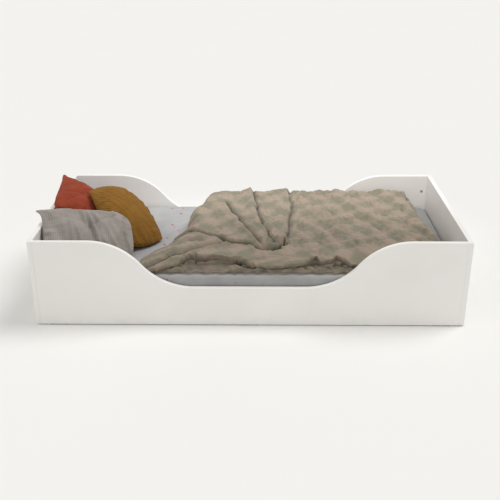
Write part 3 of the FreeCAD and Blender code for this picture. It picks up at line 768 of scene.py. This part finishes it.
def lay_front_roll(rise, closed, x, y):
    """Adds the lumpy roll along the front, whose foot line wanders, the crumpled hem in front of
    it, and a shallow gap between the two, with painted shade in the gap and, more lightly, over the
    hem."""
    level = y * 0
    foot = np.interp(x, *np.array(ROLL_FOOT).T) + 0.003 * ripples(x, level, 0.05, seed=41)
    foot = foot + 0.006 * np.abs(ripples(x, level, 0.024, seed=45)) ** 2
    over = y - foot
    long = smooth(-0.4, -0.3, x) * smooth(0.68, 0.56, x)
    roll = smooth(0.0, 0.009, over) * np.exp(-np.clip(over - 0.014, 0, 1) / 0.05)
    pinches = np.abs(ripples(x + y * 0.3, y * 0.3, 0.03, seed=46)) ** 3
    lumps = 0.65 + 0.3 * ripples(x, y * 0.4, 0.09, seed=42) - 0.35 * pinches
    rise = rise + 0.009 * roll * long * lumps
    gathers = 1 - np.abs(ripples(x + y * 0.8, y * 0.6, 0.048, seed=43, count=18))
    hem = 0.017 + 0.01 * (gathers - 0.6) + 0.005 * ripples(x, y, 0.06, seed=44)
    on_roll = 1 - long * (1 - smooth(-0.003, 0.01, over))
    rise = np.where(long > 0, hem + (rise - hem) * on_roll, rise)
    rise = rise - 0.005 * np.exp(-(over / 0.005) ** 2) * long
    # Painted shade in the gap along the roll's foot, and lighter painted shade over the hem before
    # it.
    closed = np.maximum(closed, 0.75 * np.exp(-((over - 0.001) / 0.0045) ** 2) * long)
    closed = np.maximum(closed, 0.3 * smooth(0.002, -0.002, over) * long)
    return rise, closed


def puffed_checks(x, y):
    """Height of the stitched puffs on the flat right part: 60 by 52 mm, turned 28 degrees, their
    rows bent and their fullness uneven."""
    height, long_side, short_side = 0.0125, 0.06, 0.052
    tilt = radians(-28)
    bent_x = x + 0.016 * ripples(x, y, 0.16, seed=23)
    bent_y = y + 0.016 * ripples(x, y, 0.16, seed=24)
    puff_x = bent_x * cos(tilt) - bent_y * sin(tilt)
    puff_y = bent_x * sin(tilt) + bent_y * cos(tilt)
    puffs = np.abs(np.sin(pi * puff_x / long_side))
    puffs = puffs * np.abs(np.sin(pi * puff_y / short_side))
    right_part = smooth(0.15, 0.19, x) * smooth(-0.3, -0.22, y)
    uneven = 0.75 + 0.35 * ripples(x, y, 0.1, seed=25)
    return height * puffs ** 0.7 * uneven * right_part


def quilt_rise(x, y, left, right):
    """Height of the quilt over the sheet, and the painted shade of its folds and front roll, from
    0 to 1.
    The quilt swells to 46 mm at the front and 80 mm at the back and falls to its hems; ridges and
    creases, the front roll and the puffed checks shape it, and short streaks and a fine crinkle
    cover it."""
    fullness = quilt_fullness(x, y, left, right)
    share = (y - FRONT_Y) / (BACK_Y - FRONT_Y)
    rise = HEM_RISE + (FRONT_SWELL + BACK_GAIN * share) * fullness
    rise, closed = raise_folds(rise, x, y, fullness)
    rise, closed = lay_front_roll(rise, closed, x, y)
    rise = rise + puffed_checks(x, y) * fullness
    streaks = 1 - np.abs(ripples(x * 1.5 + y * 0.5, y * 0.6, 0.06, seed=31))
    rise = rise + 0.003 * (streaks - 0.6) * fullness
    rise = rise + 0.001 * ripples(x, y, 0.018, seed=32) * fullness
    return np.maximum(rise, LEAST_RISE), np.clip(closed, 0, 1)


def make_quilt():
    """The quilt: a closed shell under the surface of quilt_rise, whose underside follows a calmed
    copy of it 17 mm lower and never past the sheet; its hems are rounded, the front roll leans
    out over its foot, and the pattern follows the length of the cloth over the folds."""
    columns, rows, step = 361, 217, 6
    hem_thickness, least_thickness, thickness = 0.0035, 0.0045, 0.017
    overhang_reach = 0.019
    calming_rounds = 60
    across = np.linspace(0, 1, rows)[:, None]
    across = across - 0.045 * np.sin(2 * pi * across) * 0.9     # rows crowd at the hems
    y = FRONT_Y + (BACK_Y - FRONT_Y) * across + np.zeros((1, columns))
    left = np.interp(y, *np.array(LEFT_STEPS).T)
    right = np.interp(y, *np.array(RIGHT_STEPS).T)
    left = left + 0.006 * np.sin(y * 41) - 0.004 * np.sin(y * 97)
    right = right - 0.004 * (1 + np.sin(y * 61))
    x = left + (right - left) * np.linspace(0, 1, columns)[None, :]
    rise, closed = quilt_rise(x, y, left - 0.004, right + 0.004)
    top = np.stack([x, y, QUILT_FLOOR + rise], -1)
    wave = 0.003 * np.sin(x * 2 * pi / 0.047 + 2 * np.sin(x * 17))
    top[..., 1] += wave * smooth(0.03, 0.0, y - FRONT_Y)
    foot = np.interp(x, *np.array(ROLL_FOOT).T)
    overhang = smooth(0.0, 0.012, y - foot) * smooth(0.075, 0.012, y - foot)
    top[..., 1] -= overhang_reach * overhang * smooth(-0.4, -0.2, x) * smooth(0.66, 0.5, x)
    edge = np.minimum(np.minimum(y - FRONT_Y, BACK_Y - y), np.minimum(x - left, right - x))
    rounded = 0.25 + 0.75 * swell(edge, 0.007)
    above_hem = top[..., 2] - QUILT_FLOOR - hem_thickness
    top[..., 2] = QUILT_FLOOR + hem_thickness + above_hem * rounded
    calm = top[..., 2].copy()
    for _ in range(calming_rounds):
        beside = calm[:-2, 1:-1] + calm[2:, 1:-1] + calm[1:-1, :-2] + calm[1:-1, 2:]
        calm[1:-1, 1:-1] = beside / 4
    under = top.copy()
    lowest = np.minimum(calm - thickness, top[..., 2] - least_thickness)
    under[..., 2] = np.maximum(QUILT_FLOOR, lowest)
    steps_x = np.linalg.norm(np.diff(top, axis=1), axis=2)
    steps_y = np.linalg.norm(np.diff(top, axis=0), axis=2)
    u = np.concatenate([np.zeros((rows, 1)), np.cumsum(steps_x, 1)], 1)
    v = np.concatenate([np.zeros((1, columns)), np.cumsum(steps_y, 0)], 0)
    uv = np.stack([u - u[:, -1:], v], -1)
    thing = shell("quilt_cloth", top, under, uv, step)
    # The painted shade of the folds and the front roll goes to the cloth as the attribute "crease".
    painted_fold_shade = thing.data.attributes.new("crease", "FLOAT", "POINT")
    values = np.zeros(len(thing.data.vertices))
    values[:closed.size] = closed.reshape(-1)
    painted_fold_shade.data.foreach_set("value", values)
    return thing


# ---- pillows ----
def plump_case(name, width, height, crown, draw, count=53):
    """A pillow case upright in the X-Z plane, its two faces sewn at the seam: a square grid whose
    sides are drawn in by draw in the middle (out, where draw is negative). Its faces swell to the
    crown with steep sides, thinner towards the ears at its corners and fuller below, where the
    filling has slumped; its back is flatter at the top, where it leans."""
    even = np.linspace(-1, 1, count)
    steps = np.sin(even * pi / 2) * 0.35 + even * 0.65
    u, v = np.meshgrid(steps, steps, indexing="ij")
    x = u * (width / 2 - draw * (1 - v * v))
    z = v * (height / 2 - draw * (1 - u * u))
    slump = 0.58 + 0.45 * smooth(-0.1, 1.0, v)
    leant = 1 - 0.4 * smooth(0.0, 0.9, v)
    off_seam = 0.0012 * (np.abs(u) < 1) * (np.abs(v) < 1)
    lift = off_seam + crown / 2 * ((1 - u * u) ** 0.62) * ((1 - v * v) ** slump)
    front = np.stack([x, -lift, z], -1).reshape(-1, 3)
    back = np.stack([x, lift * leant, z], -1).reshape(-1, 3)
    faces = grid_faces(count, count)
    faces += grid_faces(count, count, start=count * count, turned=True)
    uv = np.stack([x, z], -1).reshape(-1, 2)
    uvs = np.concatenate([uv, uv + [0.5, 0.0]])
    return outward(mesh_object(name, np.concatenate([front, back]), faces, uvs), 1e-6)


def inflate(thing, pressure, reach, frames=16):
    """Blows up the sewn case as cloth without gravity, 4 % larger than its form so that its seams
    pucker; no point moves farther than reach."""
    before = get_points(thing)
    cloth = thing.modifiers.new("cloth", "CLOTH")
    settings = cloth.settings
    settings.quality = 6
    settings.mass = 0.3
    settings.air_damping = 3.0
    settings.tension_stiffness = 25
    settings.compression_stiffness = 25
    settings.shear_stiffness = 10
    settings.bending_stiffness = 0.2
    settings.shrink_min = -0.04
    settings.use_pressure = True
    settings.uniform_pressure_force = pressure
    settings.effector_weights.gravity = 0
    cloth.point_cache.frame_start = 1
    cloth.point_cache.frame_end = frames
    for number in range(1, frames + 1):
        scene.frame_set(number)
    apply_modifiers(thing)
    scene.frame_set(1)
    moved = get_points(thing) - before
    length = np.linalg.norm(moved, axis=1, keepdims=True)
    held = reach * np.tanh(length / reach)
    set_points(thing, before + moved * held / np.maximum(length, 1e-9))


# Sizes in metres: draw is how far the seams are drawn in, slack how deep the slack folds are, and
# flare how far each corner (left low, left high, right low, right high) is shifted across and up.
# roll, lean and turn are in degrees.
UNSHIFTED = (0, 0)
PILLOWS = {
    "rust": {
        "width": 0.284, "height": 0.241, "crown": 0.128, "draw": 0.003, "slack": 0.004,
        "flare": (UNSHIFTED, (0.012, -0.036), UNSHIFTED, (0.006, -0.009)),
        "roll": -6.9, "lean": 48.5, "turn": 88.4},
    "mustard": {
        "width": 0.163, "height": 0.273, "crown": 0.108, "draw": -0.019, "slack": 0.006,
        "flare": (UNSHIFTED, UNSHIFTED, UNSHIFTED, UNSHIFTED),
        "roll": 16.5, "lean": 58.5, "turn": 60.2},
    "grey": {
        "width": 0.3, "height": 0.184, "crown": 0.086, "draw": -0.005, "slack": 0.012,
        "flare": (UNSHIFTED, (-0.024, -0.016), (-0.01, 0.01), (-0.034, -0.022)),
        "roll": 14.0, "lean": 46.0, "turn": 32.0},
}
CORNERS = ((-1, -1), (-1, 1), (1, -1), (1, 1))
# Long creases across a pillow's front: both ends as shares of its half width and height, depth.
LONG_CREASES = (((0.9, 0.9), (-0.3, -0.2), 0.007), ((-0.95, 0.8), (0.1, 0.15), 0.004))


def pucker(points, width, height, crown, slackness, seed):
    """Creases that start at the seams and fade over 30 mm, two long ones across the front from
    the upper corners, and slack wrinkles between: all pressed into the faces."""
    seam_depth, seam_reach, seam_pitch = 0.0045, 0.03, 0.026
    x, y, z = points.T
    side = np.sign(y)
    half_width, half_height = width / 2, height / 2
    from_x = np.clip(1 - np.abs(x) / half_width, 0, 1) * half_width
    from_z = np.clip(1 - np.abs(z) / half_height, 0, 1) * half_height
    off_seam = np.clip(np.abs(y) / (0.25 * crown), 0, 1)
    along_sides = np.exp(-from_x / seam_reach) * ripples(x * 0.2 + side, z, seam_pitch, seed)
    along_ends = np.exp(-from_z / seam_reach) * ripples(x, z * 0.2 + side, seam_pitch, seed + 1)
    slack = 1 - np.abs(ripples(x * 1.6 + z * 0.4, z * 0.3 + side, 0.07, seed + 2))
    push = seam_depth * (along_sides + along_ends) + slackness * (slack - 0.6)
    for start, end, depth in LONG_CREASES:
        line = [(share_x * half_width, share_z * half_height) for share_x, share_z in (start, end)]
        away, _, along = distance_to(x + 0.01 * np.sin(z * 40), z, line)
        bite = depth * swell(along, 0.1) * swell(1 - along, 0.5)
        push = push - bite * np.exp(-away / 0.009) * (side < 0)
    moved = points.copy()
    moved[:, 1] += side * push * off_seam
    return moved


def turned_by(degrees, axis):
    """Rotation about one axis."""
    return Matrix.Rotation(radians(degrees), 4, axis)


def rest_on_bed(points):
    """Lets a pillow sink by 2 mm and presses it flat on the sheet, softly over 12 mm, and against
    the head panel as high as that stands."""
    sink, softness = 0.002, 0.012
    floor = SHEET_TOP + 0.0005
    wall = HEAD_FACE + 0.0006
    wall_top = 0.304
    x, _, z = points.T                          # changing these changes the points
    z -= sink
    depth = np.clip(floor + softness - z, 0, None)
    z += depth ** 2 / (depth + softness)
    z[:] = np.maximum(z, floor)
    x[(x < wall) & (z < wall_top)] = wall


def make_pillow(colour):
    """One pillow: its case blown up as cloth, creased, its ears flared, turned and set down where
    its CAD solid lies, with the sides that rest on the sheet and the head panel pressed flat."""
    form = PILLOWS[colour]
    width, height, crown, draw = form["width"], form["height"], form["crown"], form["draw"]
    name = colour + "_pillow"
    thing = plump_case(name, width * 0.97, height * 0.97, crown * 0.93, draw)
    inflate(thing, 4.0, 0.006)
    finer = thing.modifiers.new("finer", "SUBSURF")
    finer.levels = finer.render_levels = 1
    apply_modifiers(thing)
    points = get_points(thing)
    low, high = points.min(0), points.max(0)
    bulge = 2 * max(0, -draw)
    extent = np.array([width + bulge, crown, height + bulge])
    points = (points - (low + high) / 2) * (extent / (high - low))
    points = pucker(points, width, height, crown, form["slack"], len(colour) * 7)
    u, v = points[:, 0] / (width / 2), points[:, 2] / (height / 2)
    for (side_u, side_v), (shift_x, shift_z) in zip(CORNERS, form["flare"]):
        near = np.clip(side_u * u, 0, 1) ** 4 * np.clip(side_v * v, 0, 1) ** 4
        points[:, 0] += shift_x * near
        points[:, 2] += shift_z * near
    posed = (turned_by(form["turn"], "Z") @ turned_by(-form["lean"], "X")
             @ turned_by(form["roll"], "Y"))
    turned = points @ np.array(posed.to_3x3()).T
    low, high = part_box(colour + "_pillow_case")
    turned += np.array((low + high) / 2) - (turned.min(0) + turned.max(0)) / 2
    rest_on_bed(turned)
    set_points(thing, turned)
    shade_smooth(outward(thing, 1e-7))
    return thing


# ---- putting the bedding on ----
def dress_pillow(colour, cloth_name, deep, pale, kind):
    """One pillow in its cloth, on its own body, in place of its case and filling."""
    body = colour + "_pillow"
    return place(make_pillow(colour), body, pillow_cloth(cloth_name, deep, pale, kind),
                 colour + "_cotton", body + "_case", body + "_filling")


sheet_cloth = place(make_fitted_sheet(), "mattress", cotton_sheet(), "sheet_cotton", "fitted_sheet")
cover = place(make_mattress_cover(), "mattress", quilted_cover(), "cover_cloth",
              "mattress_cover_top", "mattress_cover_bottom", "mattress_core")
place(make_zip(), "mattress", zip_tape(), "zip_tape", "mattress_zip")
quilt = place(make_quilt(), "quilt", crinkled_check(), "quilt_cotton", "quilt")
rust = dress_pillow("rust", "rust_slub_linen", "#8c3b25", "#98442c", "plain")
mustard = dress_pillow("mustard", "mustard_ribbed_cotton", "#835b20", "#926726", "ribs")
grey = dress_pillow("grey", "grey_waffle_cotton", "#9b948d", "#aca49d", "waffle")


# ---- floor, light and camera ----
def make_floor():
    """A wide pale floor just under the pads, shaded as matt paint."""
    half, lines = 16, 9
    side = np.linspace(-half, half, lines)
    x, y = np.meshgrid(side, side, indexing="ij")
    points = np.stack([x, y, np.full_like(x, -0.0005)], -1)
    thing = outward(mesh_object("floor", points, grid_faces(lines, lines)))
    material, tree = start_material(
        "pale_matt_floor", Roughness=0.9, Specular_IOR_Level=0.0)
    spot = object_place(tree)
    tint(tree, noise(tree, spot, 0.8), "#f1f0ec", "#f3f2ee")
    thing.data.materials.append(material)


def add_lamp(name, kind, energy, place_at, aim, **settings):
    """A lamp at a place, aimed at another."""
    lamp = bpy.data.lights.new(name, kind)
    lamp.energy = energy
    for key, value in settings.items():
        setattr(lamp, key, value)
    holder = bpy.data.objects.new(name, lamp)
    holder.location = place_at
    holder.rotation_euler = (Vector(aim) - Vector(place_at)).to_track_quat("-Z", "Y").to_euler()
    scene.collection.objects.link(holder)


def light_the_room():
    """Even white surroundings that the camera, mirrors and glass see as the pale backdrop, one
    wide soft sun from above and to the right, a very wide fill from the front left, and a long
    narrow lamp over the front panel that lightens the inside of the back panel."""
    world = bpy.data.worlds.new("studio")
    world.use_nodes = True
    scene.world = world
    tree = world.node_tree
    tree.nodes.clear()
    path = add(tree, "LightPath")
    seen = arithmetic(tree, "MAXIMUM", path.outputs["Is Camera Ray"], path.outputs["Is Glossy Ray"])
    seen = arithmetic(tree, "MAXIMUM", seen, path.outputs["Is Transmission Ray"])
    backdrop = {"Color": linear("#f4f3ef"), "Strength": 1.0}
    surround = {"Color": linear("#fdfcfc"), "Strength": 0.5}
    backdrop = add(tree, "Background", backdrop).outputs[0]
    surround = add(tree, "Background", surround).outputs[0]
    mixed = add(tree, "MixShader", {0: seen, 1: surround, 2: backdrop}).outputs[0]
    add(tree, "OutputWorld", {0: mixed})
    bed = (0, 0, 0)
    add_lamp("window_sun", "SUN", 1.45, (1.9, 0.7, 3.0), bed, angle=radians(32))
    add_lamp("front_fill", "SUN", 0.82, (-2.2, -1.7, 1.8), bed, angle=radians(90))
    add_lamp("strip_over_bed", "AREA", 1.0, (0.1, -0.36, 1.25), (0.1, 0.371, 0.06),
             shape="RECTANGLE", size=1.3, size_y=0.3, spread=radians(34))


def set_camera():
    """The photograph's view: 58 mm lens, 2.8 m in front and 1.26 m up, tipped down 26 degrees."""
    stand = (0.0335, -2.7784, 1.2562)
    pitch, yaw, roll = 0.4547, -0.0134, -0.0019         # radians
    ahead = Vector((sin(yaw) * cos(pitch), cos(yaw) * cos(pitch), -sin(pitch)))
    right = Vector((cos(yaw), -sin(yaw), 0))
    up = right.cross(ahead)
    right, up = right * cos(roll) + up * sin(roll), up * cos(roll) - right * sin(roll)
    lens = bpy.data.cameras.new("camera")
    lens.lens = 57.86
    lens.sensor_width = 36.0
    lens.shift_y = 0.1085
    lens.clip_end = 100
    camera = bpy.data.objects.new("camera", lens)
    turn = Matrix((right, up, -ahead)).transposed()
    camera.matrix_world = Matrix.Translation(stand) @ turn.to_4x4()
    scene.collection.objects.link(camera)
    scene.camera = camera


make_floor()
light_the_room()
set_camera()
scene.view_settings.view_transform = "Standard"
